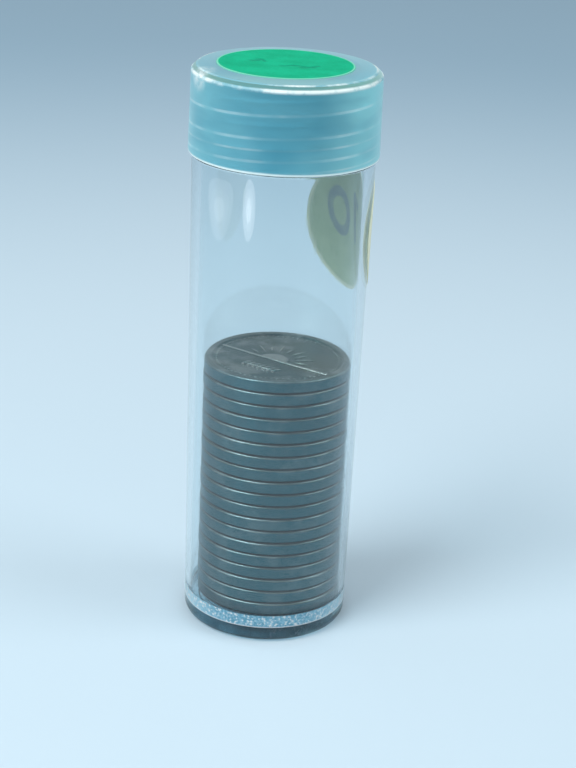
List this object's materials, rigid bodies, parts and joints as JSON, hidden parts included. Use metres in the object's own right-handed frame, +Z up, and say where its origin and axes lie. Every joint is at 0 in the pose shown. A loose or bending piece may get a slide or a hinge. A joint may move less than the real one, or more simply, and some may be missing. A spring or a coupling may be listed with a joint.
{
  "type": "coin tube",
  "caption": "Clear screw-top coin tube with a translucent cap, round paper labels on the cap and the wall, and a loose stack of coins inside.",
  "frame": {"origin": "centre of the ring that the tube stands on, at the surface it stands on", "axes": "+Z up along the tube's axis; -Y is the viewed side; the side label is on the wall at 28.5 degrees from +X towards +Y"},
  "size_m": [0.0268, 0.0268, 0.0834],
  "materials": {
    "clear_styrene": "clear moulded",
    "milky_cap": "translucent satin",
    "green_paper": "matte sticker",
    "cream_paper": "matte sticker",
    "coin_metal": "struck, worn"
  },
  "bodies": {
    "tube": {"tube_body": "clear_styrene", "side_label": "cream_paper"},
    "cap": {"screw_cap": "milky_cap", "cap_label": "green_paper"},
    "coins": {"coin_01": "coin_metal", "coin_02": "coin_metal", "coin_03": "coin_metal", "coin_04": "coin_metal", "coin_05": "coin_metal", "coin_06": "coin_metal", "coin_07": "coin_metal", "coin_08": "coin_metal", "coin_09": "coin_metal", "coin_10": "coin_metal", "coin_11": "coin_metal", "coin_12": "coin_metal", "coin_13": "coin_metal", "coin_14": "coin_metal", "coin_15": "coin_metal", "coin_16": "coin_metal", "coin_17": "coin_metal", "coin_18": "coin_metal", "coin_19": "coin_metal"}
  },
  "joints": [
    {"name": "cap_lift", "type": "slide", "parent": "tube", "child": "cap", "axis": [0, 0, 1], "range_m": [0, 0.04]},
    {"name": "coin_slide", "type": "slide", "parent": "tube", "child": "coins", "axis": [0, 0, 1], "range_m": [0, 0.041]}
  ]
}
